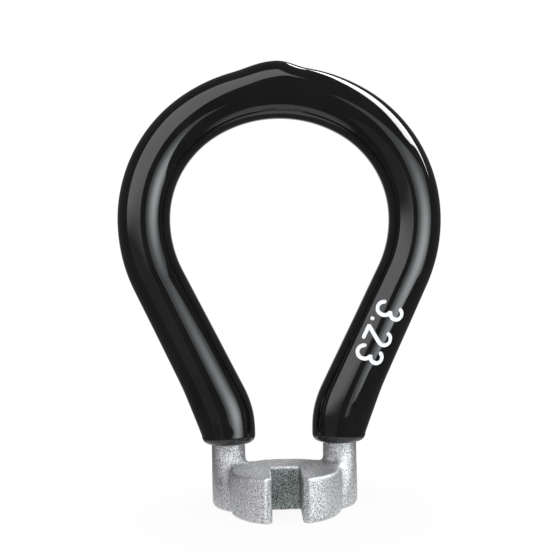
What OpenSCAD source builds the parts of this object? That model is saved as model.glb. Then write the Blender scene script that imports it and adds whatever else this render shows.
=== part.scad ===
// Spoke wrench with a one-piece cast steel body and a dipped vinyl grip.
// A nipple stands on the origin and its spoke runs up along +Z. The slot opens towards -Y.
// The loop and the posts lie in an upright plane behind the nipple, so the spoke clears the grip.

/* [Nipple slot] */
// Width between the slot's two walls, for the nipple that the wrench turns
slot_w = 3.23; // [3:0.01:4]
// Width of the bevel on each side of the slot's mouth
mouth_bevel = 0.7; // [0.3:0.05:1]

/* [Head] */
// Height of the head
head_h = 4.8; // [4:0.05:6]
// Radius of the head's round middle
boss_r = 6.1; // [5.6:0.05:6.6]
// Distance from the nipple's axis back to the middle of the head
boss_back = 0.55; // [0.2:0.05:0.9]
// Radius of the shoulder in front of each post
shoulder_r = 5.5; // [4.8:0.1:6]
// Rounding of the head's lower edges
low_edge = 0.5; // [0.2:0.05:0.8]
// Rounding of the head's upper edges
top_edge = 0.25; // [0.1:0.05:0.5]

/* [Rod] */
// Diameter of the steel rod in the posts, the arms and the loop
rod_d = 3.84; // [3.4:0.02:4.2]
// Distance between the axes of the two posts
post_spacing = 12.76; // [12.2:0.02:13.2]
// Distance from the nipple's axis back to the plane of the loop
loop_back = 5; // [4.6:0.1:5.4]
// Length of bare post between the head and the grip
bare_post = 2.25; // [1.2:0.05:3]
// Radius of the fillet where each post meets the top of the head
post_fillet = 1.6; // [0.5:0.1:2]
// Radius of the bend from a post into its arm
bend_r = 9; // [7:0.5:14]
// Lean of each arm from upright, in degrees
arm_angle = 25.9; // [22:0.1:29]
// Width of the loop at its widest, from the middle of the rod to the middle of the rod
loop_w = 31.1; // [30:0.1:31.9]
// Radius of the loop's top
crown_r = 16.8; // [15:0.1:18]
// Half of the angle that the loop's top spans, in degrees
crown_half = 31.3; // [20:0.1:40]

/* [Grip] */
// Diameter of the grip round the loop
grip_loop_d = 6.02; // [5.6:0.02:6.6]
// Diameter of the grip at its two ends
grip_end_d = 6.4; // [6:0.02:7]
// Length of the grip's straight ends, below the bends
grip_straight = 1; // [1:0.1:3]
// Rounding of the grip's two ends
end_round = 0.9; // [0.4:0.05:0.95]
// Gap between the rod and the vinyl skin on it
skin_gap = 0.02; // [0.01:0.01:0.05]
// Height of the drip that the dipping left on the top of the loop
drip_h = 0.6; // [0.2:0.05:0.8]
// Length of the drip's long flank, towards -X
drip_long = 4.6; // [3:0.1:6]
// Length of the drip's short flank, towards +X
drip_short = 3; // [1.5:0.1:4]

/* [Hidden] */
$fn = 96;
half_turn = 180;
quarter_turn = half_turn / 2;

// Every cut runs this far past what it cuts
overrun = rod_d;

// Every second length of bar is a hair thinner than its neighbours, and its ends sink into theirs
hair_share = 0.003;
sink_in_share = 0.05;
hair = hair_share * rod_d;
sink_in = sink_in_share * rod_d;

rod_r = rod_d / 2;
post_x = post_spacing / 2;
shoulder_x = post_x + rod_r - shoulder_r;
fillet_r = min(post_fillet, bare_post);
grip_z = head_h + bare_post;

// The straight post, the bend, the arm and the loop's sides, corners and top follow one another without a kink
bend_x = post_x + bend_r;
bend_z = grip_z + grip_straight;
arm_x = bend_x - bend_r * cos(arm_angle);
arm_z = bend_z + bend_r * sin(arm_angle);
side_r = loop_w / 2;
arm_l = (side_r * cos(arm_angle) - arm_x) / sin(arm_angle);
loop_z = arm_z + arm_l * cos(arm_angle) + side_r * sin(arm_angle);
corner_r = (side_r - crown_r * sin(crown_half)) / (1 - sin(crown_half));
corner_x = side_r - corner_r;
crown_z = loop_z - corner_x / tan(crown_half);
corner_sink = sink_in / corner_r * half_turn / PI;

// The mouth's bevels end on the curve of the head's front
mouth_x = slot_w / 2 + mouth_bevel;
mouth_y = boss_back - sqrt(boss_r * boss_r - mouth_x * mouth_x);

// The drip is the top of a spindle that lies inside the grip, along the loop's highest stretch
spindle_share = 0.6;
sink_share = 0.1;
spindle_steps = 12;
grip_top_r = crown_r + grip_loop_d / 2;
spindle_r = spindle_share * grip_loop_d / 2;
spindle_z = crown_z + grip_top_r + drip_h - spindle_r;

// Radius of the spindle at a distance from the drip's tip, on the flank of the given length
function drip_rise(along, flank) = drip_h * (1 + cos(half_turn * along / flank)) / 2;
function loop_fall(along) = grip_top_r - sqrt(grip_top_r * grip_top_r - along * along);
function spindle_at(along, flank) =
    spindle_r - drip_h + drip_rise(along, flank) - loop_fall(along) - sink_share * drip_h * along / flank;

module both_sides() {
    children();
    mirror([1, 0, 0]) children();
}

// A plain disc, or one whose lower and upper rims are rounded
module head_disc(r, h, rounded) {
    if (rounded)
        rotate_extrude() {
            translate([0, low_edge]) square([r, h - low_edge - top_edge]);
            square([r - low_edge, h - top_edge]);
            translate([0, low_edge]) square([r - top_edge, h - low_edge]);
            translate([r - low_edge, low_edge]) circle(r = low_edge);
            translate([r - top_edge, h - top_edge]) circle(r = top_edge);
        }
    else
        cylinder(r = r, h = h);
}

// The head's outline as a solid: its round middle, its two shoulders and the feet of the posts
module head_form(h, inset, rounded) {
    translate([0, boss_back, 0]) head_disc(boss_r - inset, h, rounded);
    both_sides() {
        intersection() {
            translate([shoulder_x, loop_back, 0]) head_disc(shoulder_r - inset, h, rounded);
            translate([0, loop_back - shoulder_r, 0]) cube([post_x + rod_r, shoulder_r, h]);
        }
        translate([post_x, loop_back, 0]) head_disc(rod_r - inset, h, rounded);
    }
}

// The flare round the foot of a post, where it stands on the head
module post_flare() {
    rotate_extrude()
        difference() {
            square([rod_r + fillet_r, fillet_r]);
            translate([rod_r + fillet_r, fillet_r]) circle(r = fillet_r);
        }
}

// The slot with its bevelled mouth, as the space to cut away
module slot_space() {
    translate([0, 0, -overrun])
        linear_extrude(head_h + 2 * overrun)
            polygon([
                [-slot_w / 2, slot_w / 2],
                [slot_w / 2, slot_w / 2],
                [slot_w / 2, mouth_y + mouth_bevel],
                [mouth_x + overrun, mouth_y - overrun],
                [-mouth_x - overrun, mouth_y - overrun],
                [-slot_w / 2, mouth_y + mouth_bevel],
            ]);
}

// An upright arc of round bar
module arc_bar(r, from_angle, turn, d) {
    rotate([quarter_turn, 0, 0])
        rotate_extrude(start = from_angle, angle = turn)
            translate([r, 0]) circle(d = d);
}

// A round bar along the bends, the arms and the loop, with its own diameter round the loop
module handle_bar(end_d, ring_d) {
    translate([0, loop_back, 0]) {
        both_sides() {
            translate([bend_x, 0, bend_z]) arc_bar(bend_r, half_turn - arm_angle, arm_angle, end_d);
            translate([arm_x, 0, arm_z])
                rotate([0, arm_angle, 0])
                    translate([0, 0, -sink_in])
                        cylinder(d1 = end_d - 2 * hair, d2 = ring_d - 2 * hair, h = arm_l + 2 * sink_in);
            translate([0, 0, loop_z]) arc_bar(side_r, -arm_angle, arm_angle, ring_d);
            translate([corner_x, 0, loop_z])
                arc_bar(corner_r, -corner_sink, quarter_turn - crown_half + 2 * corner_sink, ring_d - 2 * hair);
        }
        translate([0, 0, crown_z]) arc_bar(crown_r, quarter_turn - crown_half, 2 * crown_half, ring_d);
    }
}

// The straight posts, from one height up to the bends
module posts(d, from_z) {
    both_sides()
        translate([post_x, loop_back, from_z])
            cylinder(d = d - 2 * hair, h = bend_z + sink_in - from_z);
}

// The straight end of the grip, with its rounded rim
module grip_end() {
    end_r = grip_end_d / 2;
    rotate_extrude() {
        translate([0, end_round]) square([end_r, grip_straight - end_round]);
        square([end_r - end_round, grip_straight]);
        intersection() {
            translate([end_r - end_round, end_round]) circle(r = end_round);
            square([end_r, end_round]);
        }
    }
}

module drip_spindle() {
    long_side = [
        for (i = [0:spindle_steps])
            let (along = drip_long * (1 - i / spindle_steps))
            [spindle_at(along, drip_long), -along]
    ];
    short_side = [
        for (i = [1:spindle_steps])
            let (along = drip_short * i / spindle_steps)
            [spindle_at(along, drip_short), along]
    ];
    translate([0, loop_back, spindle_z])
        rotate([0, quarter_turn, 0])
            rotate_extrude()
                polygon(concat([[0, -drip_long]], long_side, short_side, [[0, drip_short]]));
}

module wrench_body() {
    color("silver")
        difference() {
            union() {
                head_form(head_h, 0, true);
                translate([0, 0, head_h])
                    intersection() {
                        head_form(fillet_r, top_edge, false);
                        both_sides() translate([post_x, loop_back, 0]) post_flare();
                    }
                posts(rod_d, head_h / 2);
                handle_bar(rod_d, rod_d);
            }
            slot_space();
        }
}

module dipped_grip() {
    color("#1b1b1d")
        difference() {
            union() {
                both_sides() translate([post_x, loop_back, grip_z]) grip_end();
                handle_bar(grip_end_d, grip_loop_d);
                drip_spindle();
            }
            posts(rod_d + 2 * skin_gap, grip_z - overrun);
            handle_bar(rod_d + 2 * skin_gap, rod_d + 2 * skin_gap);
        }
}

wrench_body();
dipped_grip();
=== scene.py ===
# A spoke wrench: a cast steel head and posts under a loop dipped in glossy black vinyl.
# Lengths are in mm, apart from those of Blender's own fields and sockets, which are in metres.
import math

import bpy
import numpy as np
from mathutils import Matrix, Vector


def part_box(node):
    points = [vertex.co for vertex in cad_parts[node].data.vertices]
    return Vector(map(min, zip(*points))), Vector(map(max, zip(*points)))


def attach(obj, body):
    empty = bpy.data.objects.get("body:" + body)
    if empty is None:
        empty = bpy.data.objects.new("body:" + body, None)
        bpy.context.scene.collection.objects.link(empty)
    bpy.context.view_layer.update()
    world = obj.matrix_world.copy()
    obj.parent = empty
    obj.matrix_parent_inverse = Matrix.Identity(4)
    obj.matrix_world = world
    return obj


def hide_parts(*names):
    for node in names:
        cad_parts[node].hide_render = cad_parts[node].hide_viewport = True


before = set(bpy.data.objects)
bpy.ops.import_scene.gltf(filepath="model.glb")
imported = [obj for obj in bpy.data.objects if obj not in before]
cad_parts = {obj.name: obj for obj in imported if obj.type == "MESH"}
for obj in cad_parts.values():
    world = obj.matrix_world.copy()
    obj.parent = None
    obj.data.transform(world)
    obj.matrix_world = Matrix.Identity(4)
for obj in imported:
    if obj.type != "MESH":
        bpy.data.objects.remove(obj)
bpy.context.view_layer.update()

MM = 0.001
TINY = 1e-6


# Helpers
def in_mm(metres):
    """A length of the frame in mm, without its rounding noise."""
    return round(metres / MM, 3)


def new_object(name, data, surface=None):
    made = bpy.data.objects.new(name, data)
    bpy.context.scene.collection.objects.link(made)
    if surface:
        data.materials.clear()
        data.materials.append(surface)
    return made


def mesh_from(name, points, faces):
    mesh = bpy.data.meshes.new(name)
    mesh.from_pydata((np.asarray(points, float) * MM).tolist(), [], faces)
    mesh.validate()
    mesh.update()
    mesh.shade_smooth()
    return mesh


def smoothstep(t):
    t = np.clip(t, 0, 1)
    return t * t * (3 - 2 * t)


def ramp(value, start, length):
    """0 up to the start, then a smooth rise to 1 over the length."""
    return smoothstep((value - start) / length)


NOISE_GRID = 24
NOISE_SHIFT = 1000.0


def value_noise(points, cell, seed):
    """Smooth noise from -1 to 1 at the points, with cells of the given size."""
    grid = np.random.default_rng(seed).uniform(-1, 1, (NOISE_GRID,) * 3)
    place = np.asarray(points, float) / cell + NOISE_SHIFT
    low = np.floor(place).astype(int)
    part = smoothstep(place - low)
    out = np.zeros(len(place))
    for corner in np.ndindex(2, 2, 2):
        share = np.where(corner, part, 1 - part)
        at = (low + corner) % NOISE_GRID
        out += share[:, 0] * share[:, 1] * share[:, 2] * grid[at[:, 0], at[:, 1], at[:, 2]]
    return out


def layered_noise(points, layers):
    """A sum of noises, each given as (height, cell, seed)."""
    return sum(height * value_noise(points, cell, seed) for height, cell, seed in layers)


# The handle's line, from the right end of the grip round to its left end
ROD_R = 1.92
BORE_R = 1.94
END_R = 3.2
LOOP_R = 3.01

grip_low, grip_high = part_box("dipped_grip")
LOOP_BACK = in_mm((grip_low.y + grip_high.y) / 2)
GRIP_Z = in_mm(grip_low.z)
SIDE_R = in_mm(grip_high.x) - LOOP_R
POST_X = 6.38
STRAIGHT = 1.0
BEND_R = 9.0
ARM = math.radians(25.9)
CROWN_R = 16.8
CROWN_HALF = math.radians(31.3)

BEND_X = POST_X + BEND_R
BEND_Z = GRIP_Z + STRAIGHT
ARM_UP = np.array([math.sin(ARM), math.cos(ARM)])
ARM_OUT = np.array([math.cos(ARM), -math.sin(ARM)])
ARM_LOW = np.array([BEND_X, BEND_Z]) + BEND_R * np.array([-math.cos(ARM), math.sin(ARM)])
ARM_LENGTH = (SIDE_R * math.cos(ARM) - ARM_LOW[0]) / math.sin(ARM)
ARM_HIGH = ARM_LOW + ARM_LENGTH * ARM_UP
LOOP_Z = ARM_HIGH[1] + SIDE_R * math.sin(ARM)
CORNER_R = (SIDE_R - CROWN_R * math.sin(CROWN_HALF)) / (1 - math.sin(CROWN_HALF))
CORNER_X = SIDE_R - CORNER_R
CROWN_Z = LOOP_Z - CORNER_X / math.tan(CROWN_HALF)

# How many points each stretch of the line gets
STRAIGHT_POINTS = 8
BEND_POINTS = 16
ARM_POINTS = 60
SIDE_POINTS = 28
CORNER_POINTS = 56
CROWN_POINTS = 48


def half_line():
    """Rows of the line's right half, up to the top of the loop: middle x and z, outward x and z."""
    rows = []

    def straight(start, end, count):
        (x0, z0), (x1, z1) = start, end
        length = math.hypot(x1 - x0, z1 - z0)
        out_x, out_z = (z1 - z0) / length, -(x1 - x0) / length
        for t in np.linspace(0, 1, count, endpoint=False):
            rows.append((x0 + (x1 - x0) * t, z0 + (z1 - z0) * t, out_x, out_z))

    def arc(x, z, r, start, end, count, outward=1, last=False):
        for a in np.linspace(start, end, count, endpoint=last):
            c, s = math.cos(a), math.sin(a)
            rows.append((x + r * c, z + r * s, outward * c, outward * s))

    quarter = math.pi / 2
    straight((POST_X, GRIP_Z), (POST_X, BEND_Z), STRAIGHT_POINTS)
    arc(BEND_X, BEND_Z, BEND_R, math.pi, math.pi - ARM, BEND_POINTS, outward=-1)
    straight(ARM_LOW, ARM_HIGH, ARM_POINTS)
    arc(0, LOOP_Z, SIDE_R, -ARM, 0, SIDE_POINTS)
    arc(CORNER_X, LOOP_Z, CORNER_R, 0, quarter - CROWN_HALF, CORNER_POINTS)
    arc(0, CROWN_Z, CROWN_R, quarter - CROWN_HALF, quarter, CROWN_POINTS, last=True)
    return np.array(rows)


def whole_line():
    """The rows of both halves, and how far along the line each row is."""
    right = half_line()
    left = right[:-1][::-1] * [-1, 1, -1, 1]
    line = np.vstack([right, left])
    steps = np.hypot(*np.diff(line[:, :2], axis=0).T)
    return line, np.concatenate([[0], np.cumsum(steps)])


LINE, ALONG = whole_line()
TOTAL = ALONG[-1]


def line_at(along):
    """Middle x and z and outward x and z of the line, at a length along it."""
    x, z, out_x, out_z = (np.interp(along, ALONG, column) for column in LINE.T)
    size = math.hypot(out_x, out_z)
    return x, z, out_x / size, out_z / size


# The dipped grip, as rings round the line. Its rounded ends are slimmer, most of all on the outside
GRIP_SIDES = 96
RING = np.linspace(0, 2 * math.pi, GRIP_SIDES, endpoint=False)
OUTSIDE = np.clip(np.cos(RING), 0, 1)
TAPER = 15.3  # length of the arm on which it gets thinner
END_ROUND = 0.9
RIM_STEPS = 12
RIM_CLEAR = 0.05  # least distance from the rim's last ring to the next
END_TRIM = 0.08  # how much slimmer a rim is on the inside
OUTER_TRIM = 0.25  # and on the outside
TRIM_REACH = 2.4  # how far up from the rim both go

# Outside each bend the dip's outline is a line through this point, and leans by this much x for each z
FLANK_X = 9.40
FLANK_Z = 7.95
FLANK_SLOPE = 0.38
FLANK_BLEND = 0.03  # how softly the line runs out into the arm's outline
FLANK_FADE = 9.0  # from here up, that softness goes
FLANK_TOP = 14.0  # up to here
FLANK_POWER = 1.5  # how fast the line's share falls off round the skin

# The drip on top of the loop, with its long flank towards -X
DRIP_H = 0.6
DRIP_LONG = 4.6
DRIP_SHORT = 3.0
DRIP_POWER = 3  # how fast it falls off round the skin

# The dip's slight waviness, as noise layers (height, cell, seed) that fade out towards the rims
WAVES = [(0.012, 5.0, 3), (0.005, 2.2, 4)]
WAVE_FADE = 3.0  # length of the fade


def grip_radius(from_end):
    """Outer radius of the grip's straight and round stretches, at a distance from its nearer end."""
    arm_start = STRAIGHT + BEND_R * ARM
    return END_R + (LOOP_R - END_R) * np.clip((from_end - arm_start) / TAPER, 0, 1)


def skin_radius(along):
    """Outer radius of the skin round a ring. The dip fills the hollow side of each bend.

    There the skin's outline runs straight from the rim up to the arm, as in the photograph.
    """
    from_end = min(along, TOTAL - along)
    plain = grip_radius(from_end)
    if from_end > FLANK_TOP:
        return np.full(GRIP_SIDES, plain)
    x, z, out_x, out_z = line_at(from_end)
    near = 1 - ramp(from_end, END_ROUND, TRIM_REACH)
    inner = plain - END_TRIM * near
    outer = plain - OUTER_TRIM * near
    flank = (FLANK_X + FLANK_SLOPE * (z - FLANK_Z) - x) / (out_x - FLANK_SLOPE * out_z)
    blend = FLANK_BLEND * (1 - ramp(from_end, FLANK_FADE, FLANK_TOP - FLANK_FADE))
    outer = (outer + flank) / 2 + math.hypot((outer - flank) / 2, blend)
    return inner + (outer - inner) * OUTSIDE**FLANK_POWER


def drip_rise(along):
    """How far the drip stands up from the skin round a ring."""
    off = along - TOTAL / 2
    flank = DRIP_LONG if off > 0 else DRIP_SHORT
    if abs(off) >= flank:
        return 0.0
    return DRIP_H * (1 + math.cos(math.pi * off / flank)) / 2 * OUTSIDE**DRIP_POWER


def ring_at(along, radius):
    """The points of a ring round the line."""
    x, z, out_x, out_z = line_at(along)
    outwards = np.outer(np.cos(RING) * radius, [out_x, 0, out_z])
    forwards = np.outer(np.sin(RING) * radius, [0, -1, 0])
    return [x, LOOP_BACK, z] + outwards + forwards


def waved(rings, stations):
    """The skin's rings with the dip's waviness."""
    middles = np.array([ring_at(a, 0)[0] for a in stations])
    outward = rings - middles[:, None]
    outward /= np.linalg.norm(outward, axis=2, keepdims=True)
    sway = layered_noise(rings.reshape(-1, 3), WAVES).reshape(len(stations), GRIP_SIDES)
    fade = ramp(np.minimum(stations, TOTAL - stations), END_ROUND, WAVE_FADE)
    return rings + outward * (sway * fade[:, None])[:, :, None]


def grip_mesh():
    """The skin as one closed tube of rings: an end, the outside, the other end, and back in the bore."""
    rim = skin_radius(END_ROUND) - END_ROUND
    end = [(0.0, BORE_R), (0.0, rim)]
    for a in np.linspace(0, math.pi / 2, RIM_STEPS + 1)[1:]:
        end.append((END_ROUND * (1 - math.cos(a)), rim + END_ROUND * math.sin(a)))
    margin = END_ROUND + RIM_CLEAR
    stations = ALONG[(ALONG > margin) & (ALONG < TOTAL - margin)]
    skin = np.array([ring_at(a, skin_radius(a) + drip_rise(a)) for a in stations])
    rings = [ring_at(a, r) for a, r in end]
    rings += list(waved(skin, stations))
    rings += [ring_at(TOTAL - a, r) for a, r in end[::-1]]
    rings += [ring_at(a, BORE_R) for a in ALONG[::-1][1:-1]]

    faces = []
    for i in range(len(rings)):
        this, following = i * GRIP_SIDES, (i + 1) % len(rings) * GRIP_SIDES
        for k in range(GRIP_SIDES):
            beside = (k + 1) % GRIP_SIDES
            faces.append((this + k, following + k, following + beside, this + beside))
    return mesh_from("dipped_skin", np.vstack(rings), faces)


# The cast body, rebuilt from the frame's own solid with cells of even size
FIRST_VOXEL = 0.14
VOXEL = 0.1
WELD_GAP = 0.002
SOFT_STEPS = 4
HIDDEN_FROM = GRIP_Z + 1.5  # the rod is thinned out above this height
KEPT_FACES = 0.36  # until this share of all faces is left

HEAD_H = 4.8
SHOULDER_R = 5.5
SHOULDER_X = POST_X + ROD_R - SHOULDER_R
SOLID_FILLET = 1.6  # radius of the fillet at the foot of each post, in the frame
SLIM_FILLET = 0.6  # and here
FILLET_FROM = 0.02  # height over the head from which it is drawn in
FILLET_MARGIN = 0.1

# Where the front of each foot is drawn in, as ramps (start, length)
FOOT_HEIGHT = (1.4, 5.4)  # up, as its width goes from the shoulder's to the post's
FOOT_OUT = (5.75, 0.5)  # out from the middle
FOOT_DEPTH = (-0.4, 0.3)  # back from the shoulder's front
FOOT_AHEAD = (0.0, 0.2)  # forward from the plane of the posts
FOOT_UP = (0.5, 0.3)  # up from the underside
FOOT_DOWN = (0.0, 0.2)  # down from the grip

# Where the feet are then smoothed over. Cells of this size get so many rounds, and smaller ones more
EVEN_OUT = (5.5, 0.6)
EVEN_FRONT = (-4.6, 0.6)
EVEN_UP = (2.0, 1.0)
EVEN_DOWN = (0.0, 0.5)
EVEN_SHARE = 0.8
EVEN_CELL, EVEN_ROUNDS = 0.11, 50

# A spot is fully worn, and gets the full painted highlight, when it stands this far out of its neighbours,
# and a hollow as deep gets the full painted shade, judged over so many rounds of them
RELIEF_STEP = 0.035
RELIEF_ROUNDS = 6
RELIEF_SOFT_ROUNDS = 2

# The sand-cast skin, as noise layers (height, cell, seed) that end just inside the grip
SWELL = [(0.010, 1.3, 11)]
GRAIN = [(0.007, 0.42, 12), (0.005, 0.24, 13)]
GRAIN_END = (-0.6, 0.5)  # down from the grip
GRAIN_ON_TOP = 2.2  # how much more grain there is on faces that look up
LOOKS_UP = (0.7, 0.2)  # of the normal's height

# Where the walls of the slot are, which get painted shade, as ramps (start, length)
SLOT_ACROSS = (-1.95, 0.35)  # in from the sides
SLOT_MOUTH = (-4.6, 0.8)  # back from the mouth
SLOT_REAR = (-2.1, 0.3)  # forward from the rear wall
SLOT_TOP = (4.4, 0.3)  # up, where they end


def vertex_vectors(mesh, field):
    values = np.zeros(len(mesh.vertices) * 3)
    mesh.vertices.foreach_get(field, values)
    return values.reshape(-1, 3)


def coordinates(mesh):
    return vertex_vectors(mesh, "co") / MM


def move_to(mesh, points):
    mesh.vertices.foreach_set("co", (points * MM).ravel())
    mesh.update()


def applied(work):
    """The mesh of a work object with its modifiers applied. The object and its own mesh go."""
    graph = bpy.context.evaluated_depsgraph_get()
    mesh = bpy.data.meshes.new_from_object(work.evaluated_get(graph))
    before = work.data
    bpy.data.objects.remove(work)
    bpy.data.meshes.remove(before)
    return mesh


def remeshed(mesh, voxel, soft_steps):
    """The mesh with even cells of the given size, softened a number of times."""
    work = new_object("cast_work", mesh)
    weld = work.modifiers.new("weld", "WELD")
    weld.merge_threshold = WELD_GAP * MM
    remesh = work.modifiers.new("remesh", "REMESH")
    remesh.mode = "VOXEL"
    remesh.voxel_size = voxel * MM
    soften = work.modifiers.new("soften", "SMOOTH")
    soften.factor = 0.5
    soften.iterations = soft_steps
    return applied(work)


def thinned(mesh):
    """Fewer faces on the rod inside the grip, and all of them on the steel that shows."""
    work = new_object("cast_work", mesh)
    hidden = work.vertex_groups.new(name="hidden")
    hidden.add(np.flatnonzero(coordinates(mesh)[:, 2] > HIDDEN_FROM).tolist(), 1.0, "REPLACE")
    thin = work.modifiers.new("thin", "DECIMATE")
    thin.ratio = KEPT_FACES
    thin.vertex_group = "hidden"
    return applied(work)


def half_chord(r, off):
    """Half the chord of a circle at a distance from its middle, and 0 past its edge."""
    return np.sqrt(np.clip(r**2 - off**2, 0, None))


def draw_in_feet(mesh):
    """The front of each post widens evenly into its shoulder, outside the head's round middle."""
    points = coordinates(mesh)
    x, ahead, z = np.abs(points[:, 0]), LOOP_BACK - points[:, 1], points[:, 2]
    post = half_chord(ROD_R, x - POST_X)
    shoulder = half_chord(SHOULDER_R, x - SHOULDER_X)
    front = post + (shoulder - post) * (1 - ramp(z, *FOOT_HEIGHT))
    here = (
        ramp(x, *FOOT_OUT)
        * ramp(shoulder - ahead, *FOOT_DEPTH)
        * ramp(ahead, *FOOT_AHEAD)
        * ramp(z, *FOOT_UP)
        * ramp(GRIP_Z - z, *FOOT_DOWN)
    )
    points[:, 1] = LOOP_BACK - (ahead + (front - ahead) * here)

    # Elsewhere the fillet at the foot of each post is drawn in too
    middle = np.stack([np.sign(points[:, 0]) * POST_X, np.full(len(points), LOOP_BACK)], 1)
    away = points[:, :2] - middle
    far = np.linalg.norm(away, axis=1)
    rise = z - HEAD_H

    def flare(r):
        return r - half_chord(r, np.clip(r - rise, 0, None))

    ratio = np.clip(flare(SLIM_FILLET) / np.maximum(flare(SOLID_FILLET), TINY), 0, 1)
    on_fillet = (rise > FILLET_FROM) & (rise < SOLID_FILLET)
    on_fillet &= (far > ROD_R) & (far < ROD_R + SOLID_FILLET + FILLET_MARGIN)
    scale = (ROD_R + (far - ROD_R) * ratio) / np.maximum(far, TINY)
    points[:, :2] = middle + away * (1 + (scale - 1) * (on_fillet * (1 - here)))[:, None]
    move_to(mesh, points)
    return mesh


def neighbour_mean(mesh):
    """A function that gives each vertex the mean of its neighbours' values."""
    n = len(mesh.vertices)
    ends = np.zeros(len(mesh.edges) * 2, int)
    mesh.edges.foreach_get("vertices", ends)
    a, b = ends.reshape(-1, 2).T

    def mean(values):
        total = np.zeros((n, values.shape[1]))
        count = np.zeros(n)
        for here, there in ((a, b), (b, a)):
            for k in range(values.shape[1]):
                total[:, k] += np.bincount(here, values[there, k], n)
            count += np.bincount(here, minlength=n)
        return total / count[:, None]

    return mean


def repeated(step, values, times):
    for _ in range(times):
        values = step(values)
    return values


def convexity(points, normals, mean):
    """How convex each spot is: the mean step from its neighbours to it, along the normal."""
    around = repeated(mean, points, RELIEF_ROUNDS)
    convex = np.einsum("ij,ij->i", points - around, normals)[:, None]
    return repeated(mean, convex, RELIEF_SOFT_ROUNDS)[:, 0]


def store(mesh, name, values):
    """Keeps a value at each vertex, for the material to read."""
    mesh.attributes.new(name, "FLOAT", "POINT").data.foreach_set("value", values)


def cast_mesh():
    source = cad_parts["wrench_body"]
    mesh = draw_in_feet(remeshed(source.data.copy(), FIRST_VOXEL, 0))
    mesh = remeshed(mesh, VOXEL, SOFT_STEPS)
    points, normals, mean = coordinates(mesh), vertex_vectors(mesh, "normal"), neighbour_mean(mesh)

    # The feet are smoothed over a little where they were drawn in
    foot = (
        ramp(np.abs(points[:, 0]), *EVEN_OUT)
        * ramp(-points[:, 1], *EVEN_FRONT)
        * ramp(points[:, 2], *EVEN_UP)
        * ramp(GRIP_Z - points[:, 2], *EVEN_DOWN)
    )[:, None]
    rounds = int(EVEN_ROUNDS * (EVEN_CELL / VOXEL) ** 2)
    points = repeated(lambda at: at + (mean(at) - at) * foot * EVEN_SHARE, points, rounds)
    # 1 on edges, which get wear and a painted highlight, down to -1 in hollows and creases, which get
    # painted shade
    worn = np.clip(convexity(points, normals, mean) / RELIEF_STEP, -1, 1)

    rough = 1 + GRAIN_ON_TOP * ramp(normals[:, 2], *LOOKS_UP)
    height = layered_noise(points, SWELL) + rough * layered_noise(points, GRAIN)
    height *= ramp(GRIP_Z - points[:, 2], *GRAIN_END)
    points += normals * height[:, None]
    # The walls of the slot get painted shade
    slot_shade = (
        ramp(-np.abs(points[:, 0]), *SLOT_ACROSS)
        * ramp(points[:, 1], *SLOT_MOUTH)
        * ramp(-points[:, 1], *SLOT_REAR)
        * (1 - ramp(points[:, 2], *SLOT_TOP))
    )
    move_to(mesh, points)
    store(mesh, "worn", worn)
    store(mesh, "slot_shade", slot_shade)
    mesh = thinned(mesh)
    mesh.name = "cast_body"
    mesh.shade_smooth()
    return mesh


# Material nodes
class Tree:
    """A short way to write the node tree of a material or a world."""

    def __init__(self, owner):
        owner.use_nodes = True
        self.tree = owner.node_tree
        self.tree.nodes.clear()

    def add(self, kind, inputs=None, **fields):
        """A new node. An input is a value, or the output socket of another node."""
        node = self.tree.nodes.new(kind)
        for key, value in fields.items():
            setattr(node, key, value)
        for key, value in (inputs or {}).items():
            if isinstance(value, bpy.types.NodeSocket):
                self.tree.links.new(value, node.inputs[key])
            else:
                node.inputs[key].default_value = value
        return node

    def position(self, kind="Object"):
        return self.add("ShaderNodeTexCoord").outputs[kind]

    def part(self, vector, axis):
        return self.add("ShaderNodeSeparateXYZ", {0: vector}).outputs[axis]

    def attribute(self, name):
        return self.add("ShaderNodeAttribute", attribute_name=name).outputs["Fac"]

    def rays(self):
        """Whether a ray is from the camera, from a mirror or a clear thing, or from a matt one."""
        path = self.add("ShaderNodeLightPath").outputs
        mirror = self.math("MAXIMUM", path["Is Glossy Ray"], path["Is Transmission Ray"])
        return path["Is Camera Ray"], mirror, path["Is Diffuse Ray"]

    def math(self, operation, x, y):
        return self.add("ShaderNodeMath", {0: x, 1: y}, operation=operation).outputs[0]

    def distance(self, a, b):
        return self.add("ShaderNodeVectorMath", {0: a, 1: b}, operation="DISTANCE").outputs["Value"]

    def noise(self, vector, scale, detail, rough):
        """Noise whose scale is about the number of its cells in a metre."""
        inputs = {"Vector": vector, "Scale": scale, "Detail": detail, "Roughness": rough}
        return self.add("ShaderNodeTexNoise", inputs).outputs["Fac"]

    def span(self, value, start, end, low=0.0, high=1.0, kind="LINEAR"):
        """The value from start to end, as a value from low to high."""
        inputs = {"Value": value, "From Min": start, "From Max": end, "To Min": low, "To Max": high}
        return self.add("ShaderNodeMapRange", inputs, interpolation_type=kind).outputs["Result"]

    def smooth(self, *ends):
        return self.span(*ends, kind="SMOOTHSTEP")

    def mix(self, share, a, b):
        """Colour a, with a share of colour b in it."""
        return self.add("ShaderNodeMix", {0: share, 6: a, 7: b}, data_type="RGBA").outputs[2]

    def bump(self, height, strength, distance, **under):
        inputs = {"Height": height, "Strength": strength, "Distance": distance, **under}
        return self.add("ShaderNodeBump", inputs).outputs["Normal"]

    def surface(self, **sockets):
        inputs = {key.replace("_", " "): value for key, value in sockets.items()}
        self.output(self.add("ShaderNodeBsdfPrincipled", inputs))

    def output(self, shader, kind="ShaderNodeOutputMaterial"):
        self.add(kind, {"Surface": shader.outputs[0]})


def material(name):
    made = bpy.data.materials.new(name)
    return made, Tree(made)


WHITE = (1, 1, 1, 1)

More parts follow.
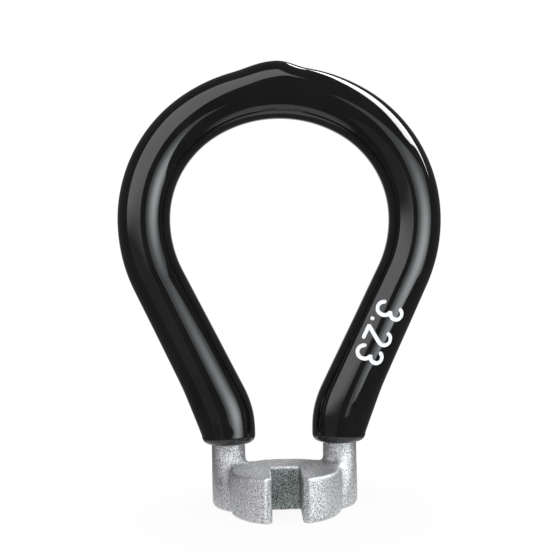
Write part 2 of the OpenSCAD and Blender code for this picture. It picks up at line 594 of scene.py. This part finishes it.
# Colours from dark to pale, noise scales in cells for each metre, and bump depths in metres
STEEL_GRAIN = (0.20, 0.203, 0.21, 1), (0.80, 0.81, 0.825, 1)
STEEL_CLOUD = (0.34, 0.345, 0.35, 1)
# Edges get wear and a painted highlight, and creases get painted shade
STEEL_WEAR_AND_HIGHLIGHT = (0.80, 0.81, 0.82, 1)
STEEL_CREASE_SHADE = (0.26, 0.265, 0.26, 1)
STEEL_ROUGH = (0.38, 0.56)
STEEL_BUMP = 0.10 * MM
GRAIN_SCALE = 8200.0
FINE_SCALE = 12500.0
CLOUD_SCALE = 700.0
# The slot's walls get painted shade, with grain in it
SLOT_SHADE_GRAIN = (0.04, 0.048, 0.045, 1), (0.42, 0.47, 0.46, 1)
SLOT_SHADE_SHARE = 0.85

VINYL_COLOURS = (0.0035, 0.0035, 0.0040, 1), (0.0062, 0.0060, 0.0062, 1)
VINYL_ROUGH = (0.035, 0.075)
VINYL_CLOUD_SCALE = 240.0
VINYL_SPECK_SCALE = 5200.0
SWAY_SCALE, SWAY_BUMP = 210.0, 0.06 * MM
PEEL_SCALE, PEEL_BUMP = 1500.0, 0.01 * MM

INK_COLOURS = (0.78, 0.82, 0.86, 1), (0.90, 0.92, 0.94, 1)
INK_ROUGH = (0.35, 0.55)
INK_SCALE, INK_BUMP = 3600.0, 0.01 * MM


def cast_steel():
    """Dark and pale grains of about 0.12 mm, bright on edges with wear and a painted highlight, and dark
    with painted shade in creases and in the slot.
    """
    steel, tree = material("cast_steel")
    at, worn, slot_shade = tree.position(), tree.attribute("worn"), tree.attribute("slot_shade")
    grain = tree.noise(at, GRAIN_SCALE, 1.0, 0.6)
    fine = tree.noise(at, FINE_SCALE, 1.0, 0.5)
    cloud = tree.noise(at, CLOUD_SCALE, 2.0, 0.5)

    grey = tree.mix(tree.span(grain, 0.36, 0.64), *STEEL_GRAIN)
    grey = tree.mix(tree.span(cloud, 0.35, 0.65, 0.0, 0.12), grey, STEEL_CLOUD)
    # Edges get wear and a painted highlight, and hollows and creases get painted shade
    grey = tree.mix(tree.span(worn, 0.45, 1.0, 0.0, 0.22), grey, STEEL_WEAR_AND_HIGHLIGHT)
    grey = tree.mix(tree.span(worn, -0.35, -1.0, 0.0, 0.2), grey, STEEL_CREASE_SHADE)
    # The slot's walls get painted shade
    dark = tree.mix(tree.span(grain, 0.38, 0.64), *SLOT_SHADE_GRAIN)
    grey = tree.mix(tree.math("MULTIPLY", slot_shade, SLOT_SHADE_SHARE), grey, dark)

    rough = tree.span(fine, 0.3, 0.7, *STEEL_ROUGH)
    height = tree.math("ADD", tree.math("MULTIPLY", grain, 0.75), tree.math("MULTIPLY", fine, 0.25))
    normal = tree.bump(height, 1.0, STEEL_BUMP)
    tree.surface(Base_Color=grey, Metallic=1.0, Roughness=rough, Normal=normal)
    return steel


def black_vinyl():
    """Glossy vinyl, slightly uneven, with a fine orange peel."""
    vinyl, tree = material("black_vinyl")
    at = tree.position()
    cloud = tree.noise(at, VINYL_CLOUD_SCALE, 3.0, 0.55)
    speck = tree.noise(at, VINYL_SPECK_SCALE, 2.0, 0.6)
    sway = tree.noise(at, SWAY_SCALE, 1.0, 0.5)
    peel = tree.noise(at, PEEL_SCALE, 1.0, 0.5)
    colour = tree.mix(tree.span(cloud, 0.35, 0.65), *VINYL_COLOURS)
    rough = tree.span(speck, 0.3, 0.7, *VINYL_ROUGH)
    normal = tree.bump(peel, 0.10, PEEL_BUMP, Normal=tree.bump(sway, 0.25, SWAY_BUMP))
    tree.surface(Base_Color=colour, Roughness=rough, IOR=1.55, Normal=normal)
    return vinyl


def white_ink():
    """Slightly worn white ink."""
    ink, tree = material("white_ink")
    worn = tree.noise(tree.position(), INK_SCALE, 3.0, 0.6)
    colour = tree.mix(tree.span(worn, 0.40, 0.62), *INK_COLOURS)
    rough = tree.span(worn, 0.3, 0.7, *INK_ROUGH)
    normal = tree.bump(worn, 0.2, INK_BUMP)
    tree.surface(Base_Color=colour, Roughness=rough, IOR=1.5, Normal=normal)
    return ink


# The steel and the vinyl
body = new_object("cast_body", cast_mesh(), cast_steel())
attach(body, "root")
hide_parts("wrench_body")

grip = new_object("dipped_skin", grip_mesh(), black_vinyl())
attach(grip, "root")
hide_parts("dipped_grip")


# The size numerals, printed down the right arm and wrapped round it
NUMERALS = "3.23"
NUMERAL_WIDTH = 0.50
DOT_HEIGHT = 0.012
PRINT_HEIGHT = 3.0
PRINT_GAP = 0.34
PRINT_MIDDLE = 0.46  # place of its middle, as a share of the arm's length from the top
HALF_PEN = 0.075 * PRINT_HEIGHT
STROKE_STEP = 0.07
STROKE_COLUMNS = 5
BOW_POINTS = 22
CAP_POINTS = 9
INK_BOTTOM, INK_TOP = 0.004, 0.012  # heights over the vinyl


def numeral_strokes(character):
    """Width and pen strokes of a plain rounded numeral or a point, in a box 1 high."""

    def bow(x, y, half_width, half_height, start, end):
        turns = np.radians(np.linspace(start, end, BOW_POINTS))
        return [(x + half_width * math.cos(a), y + half_height * math.sin(a)) for a in turns]

    if character == "3":
        upper = bow(0.235, 0.765, 0.215, 0.235, 158, -82)
        lower = bow(0.235, 0.265, 0.245, 0.265, 82, -158)
        return NUMERAL_WIDTH, [upper + lower]
    if character == "2":
        top = bow(0.245, 0.745, 0.235, 0.255, 165, -38)
        return NUMERAL_WIDTH, [top + [(0.02, 0.0), (NUMERAL_WIDTH, 0.0)]]
    return 0.0, [[(0.0, 0.0), (0.0, DOT_HEIGHT)]]


def print_strokes():
    """All pen strokes of the print, with their points counted from its middle."""
    start, strokes = 0.0, []
    for character in NUMERALS:
        width, lines = numeral_strokes(character)
        strokes += [np.array(line) * PRINT_HEIGHT + [start, 0.0] for line in lines]
        start += width * PRINT_HEIGHT + HALF_PEN * 2 + PRINT_GAP
    length = start - PRINT_GAP - HALF_PEN * 2
    return [stroke - [length / 2, PRINT_HEIGHT / 2] for stroke in strokes]


def on_arm(down, across, lift):
    """A point above the vinyl, down the arm from the print's middle and across it towards the outside."""
    along = PRINT_MIDDLE * ARM_LENGTH + down
    r = LOOP_R + (END_R - LOOP_R) * along / ARM_LENGTH + lift
    x, z = ARM_HIGH - ARM_UP * along + ARM_OUT * r * math.sin(across / r)
    return x, LOOP_BACK - r * math.cos(across / r), z


def add_fan(points, faces, outline, middle):
    """Adds a thin closed slab of ink over a fan of points."""
    n = len(outline)
    low, high = len(points), len(points) + n + 1
    for lift in (INK_BOTTOM, INK_TOP):
        points.extend(on_arm(*p, lift) for p in [*outline, middle])
    for i in range(n):
        j = (i + 1) % n
        faces.append((high + i, high + j, high + n))
        faces.append((low + j, low + i, low + n))
        faces.append((low + i, low + j, high + j, high + i))


def add_ribbon(points, faces, left, right):
    """Adds a thin strip of ink between two rows of points."""
    low, high = len(points), len(points) + len(left) * STROKE_COLUMNS
    for lift in (INK_BOTTOM, INK_TOP):
        for start, end in zip(left, right):
            for k in range(STROKE_COLUMNS):
                points.append(on_arm(*(start + (end - start) * k / (STROKE_COLUMNS - 1)), lift))
    for row in range(0, (len(left) - 1) * STROKE_COLUMNS, STROKE_COLUMNS):
        after = row + STROKE_COLUMNS
        for k in range(STROKE_COLUMNS - 1):
            square = (row + k, after + k, after + k + 1, row + k + 1)
            faces.append(tuple(high + v for v in square))
            faces.append(tuple(low + v for v in square[::-1]))
        for k in (0, STROKE_COLUMNS - 1):
            side = (low + row + k, low + after + k, high + after + k, high + row + k)
            faces.append(side if k else side[::-1])


def add_stroke(points, faces, line):
    """Adds a pen stroke as a ribbon of ink with two round caps."""
    reached = np.concatenate([[0], np.cumsum(np.hypot(*np.diff(line, axis=0).T))])
    count = max(2, int(reached[-1] / STROKE_STEP) + 1)
    at = np.linspace(0, reached[-1], count)
    mid = np.stack([np.interp(at, reached, column) for column in line.T], 1)
    ahead = np.gradient(mid, axis=0)
    ahead /= np.linalg.norm(ahead, axis=1)[:, None]
    aside = np.stack([-ahead[:, 1], ahead[:, 0]], 1)
    left, right = mid + aside * HALF_PEN, mid - aside * HALF_PEN
    turns = np.linspace(math.pi / 2, 3 * math.pi / 2, CAP_POINTS)[1:-1]
    cap = [HALF_PEN * np.array([math.cos(a), math.sin(a)]) for a in turns]
    first = [mid[0] + c @ [ahead[0], aside[0]] for c in cap]
    last = [mid[-1] - c @ [ahead[-1], aside[-1]] for c in cap]
    add_ribbon(points, faces, left, right)
    add_fan(points, faces, [left[0], *first, right[0]], mid[0])
    add_fan(points, faces, [right[-1], *last, left[-1]], mid[-1])


def numerals_mesh():
    points, faces = [], []
    for line in print_strokes():
        add_stroke(points, faces, line)
    return mesh_from("size_numerals", points, faces)


print_piece = new_object("size_numerals", numerals_mesh(), white_ink())
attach(print_piece, "root")


# The stage: three softboxes over a small pale floor, in a dim room with a white wall behind
LIGHT_AIM = Vector((0, LOOP_BACK, 27)) * MM

# The floor lies just under the grain of the head's underside
FLOOR_Z = -0.03
FLOOR_FRONT, FLOOR_BACK, FLOOR_HALF = -21, 34, 25
FLOOR_COLOUR = (0.86, 0.86, 0.86, 1)

# The floor's own white is this share of it at the object and all of it further out, where no shadow falls
FLOOR_OWN_LIGHT = 0.91
SHADOW_FADE = (9 * MM, 23 * MM)

# Between these distances the white that mirrors see falls to this strength
MIRROR_FADE = (15 * MM, 28 * MM)
MIRROR_EDGE = 0.15

# Corners (azimuth, elevation) of the softboxes, in degrees
BOX_LEFT = [
    (-41, -35), (-24, -36), (-16, -17), (-11, 0), (-9, 25), (-4, 48), (12, 57),
    (22, 61), (10, 76), (-39, 74), (-75, 52), (-73, 20), (-72, 0), (-66, -13),
]
BOX_RIGHT = [(9, -15), (68, -15), (68, 22), (9, 22)]
BOX_SIDE = [
    (91, 19), (89, 29.6), (85, 31.6), (72, 32), (64, 34), (66, 41), (84, 59),
    (112, 66), (150, 60), (166, 50), (137, 54), (111, 47), (99, 34),
]


def card(name, corners, surface):
    """A flat piece of the stage, with its corners in metres."""
    mesh = bpy.data.meshes.new(name)
    mesh.from_pydata(corners, [], [tuple(range(len(corners)))])
    return new_object(name, mesh, surface)


def direction(azimuth, elevation):
    """The direction from the object, with azimuth counted from the front towards +X, in degrees."""
    a, e = math.radians(azimuth), math.radians(elevation)
    return Vector((math.sin(a) * math.cos(e), -math.cos(a) * math.cos(e), math.sin(e)))


def softbox(name, corners, strength, colour, distance, hot=None, low=None, diffuse=True):
    """A flat light whose corners the object sees in the given directions, at a distance in metres.

    hot is (azimuth, elevation, reach, gain, edge), a glow round a spot. low is (from, to, share), the
    share of the light that is left below a height. Reach and heights count in distances.
    """
    seen = [direction(*c) for c in corners]
    towards = sum(seen, Vector()).normalized()
    up = (Vector((0, 0, 1)) - towards * towards.z).normalized()
    right = towards.cross(up)

    def flat(d):
        return d.dot(right) / d.dot(towards) * distance, d.dot(up) / d.dot(towards) * distance, 0

    shine, tree = material(name)
    spot, level = tree.position(), strength
    if hot:
        azimuth, elevation, reach, gain, edge = hot
        far = tree.distance(spot, flat(direction(azimuth, elevation)))
        level = tree.smooth(far, 0.0, reach * distance, strength * gain, strength * edge)
    if low:
        start, end, share = low
        left_over = tree.smooth(tree.part(spot, "Y"), start * distance, end * distance, share, 1.0)
        level = tree.math("MULTIPLY", level, left_over)
    tree.output(tree.add("ShaderNodeEmission", {"Color": (*colour, 1), "Strength": level}))

    box = card(name, [flat(d) for d in seen], shine)
    turn = Matrix((right, up, -towards)).transposed().to_4x4()
    box.matrix_world = Matrix.Translation(LIGHT_AIM + towards * distance) @ turn
    box.visible_camera = False
    box.visible_shadow = False
    box.visible_diffuse = diffuse


def pale_floor():
    """A pale surface that keeps shadows, and that the camera and mirrors see near white.

    Mirrors see it fade out towards its edges, so that it has no hard edge in the vinyl.
    """
    pale, tree = material("floor_pale")
    camera, mirror, _ = tree.rays()
    far = tree.distance(tree.position(), (0, 0, 0))
    white = tree.math("MAXIMUM", camera, tree.smooth(far, *MIRROR_FADE, 1.0, MIRROR_EDGE))
    seen = tree.math("MAXIMUM", camera, mirror)
    share = tree.math("MULTIPLY", seen, tree.smooth(far, *SHADOW_FADE, FLOOR_OWN_LIGHT, 1.0))
    matt = tree.add("ShaderNodeBsdfDiffuse", {"Color": FLOOR_COLOUR}).outputs[0]
    glow = tree.add("ShaderNodeEmission", {"Color": WHITE, "Strength": white}).outputs[0]
    tree.output(tree.add("ShaderNodeMixShader", {0: share, 1: matt, 2: glow}))
    return pale


floor_corners = [
    (-FLOOR_HALF, FLOOR_FRONT),
    (FLOOR_HALF, FLOOR_FRONT),
    (FLOOR_HALF, FLOOR_BACK),
    (-FLOOR_HALF, FLOOR_BACK),
]
floor = card("floor", [(x * MM, y * MM, FLOOR_Z * MM) for x, y in floor_corners], pale_floor())

softbox(
    "box_left", BOX_LEFT, strength=2.15, colour=(1.0, 0.985, 1.0), distance=0.45,
    low=(-0.58, -0.20, 0.12),
)
softbox(
    "box_right", BOX_RIGHT, strength=3.0, colour=(0.93, 0.985, 1.0), distance=0.18,
    hot=(42, -4, 0.58, 2.2, 0.35),
)
softbox(
    "box_side", BOX_SIDE, strength=15.0, colour=(1.0, 1.0, 1.0), distance=0.5,
    diffuse=False,
)


# The light that mirrors get from the room, what matt surfaces get on top of it, and how far back the
# white wall begins
ROOM_LIGHT = 0.12
MATT_LIGHT = 0.48
WALL_EDGE = (0.90, 0.97)


def world_light():
    world = bpy.data.worlds.new("studio")
    bpy.context.scene.world = world
    tree = Tree(world)
    camera, mirror, matt = tree.rays()
    wall = tree.span(tree.part(tree.position("Generated"), "Y"), *WALL_EDGE)
    white = tree.math("MAXIMUM", camera, tree.math("MULTIPLY", mirror, wall))
    room = tree.math("ADD", ROOM_LIGHT, tree.math("MULTIPLY", matt, MATT_LIGHT))
    level = tree.math("ADD", white, tree.math("MULTIPLY", tree.math("SUBTRACT", 1.0, white), room))
    shine = tree.add("ShaderNodeBackground", {"Color": WHITE, "Strength": level})
    tree.output(shine, "ShaderNodeOutputWorld")


world_light()


# The camera, at the photograph's distance and angle
AZIMUTH, ROLL = math.radians(-1.5), math.radians(1.1)
AIM = Vector((-0.10, LOOP_BACK, 25.6)) * MM
DISTANCE = 110 * MM
FOCAL_PX, FRAME_PX = 957.0, 560.0
SENSOR = 36.0

cam_data = bpy.data.cameras.new("camera")
cam_data.sensor_width = SENSOR
cam_data.lens = FOCAL_PX / FRAME_PX * SENSOR
cam_data.clip_start, cam_data.clip_end = 0.001, 10
cam = new_object("camera", cam_data)
back = Vector((math.sin(AZIMUTH), -math.cos(AZIMUTH), 0))
cam.location = AIM + back * DISTANCE
turn = (-back).to_track_quat("-Z", "Y").to_matrix() @ Matrix.Rotation(-ROLL, 3, "Z")
cam.rotation_euler = turn.to_euler()
bpy.context.scene.camera = cam
bpy.context.scene.view_settings.view_transform = "Standard"
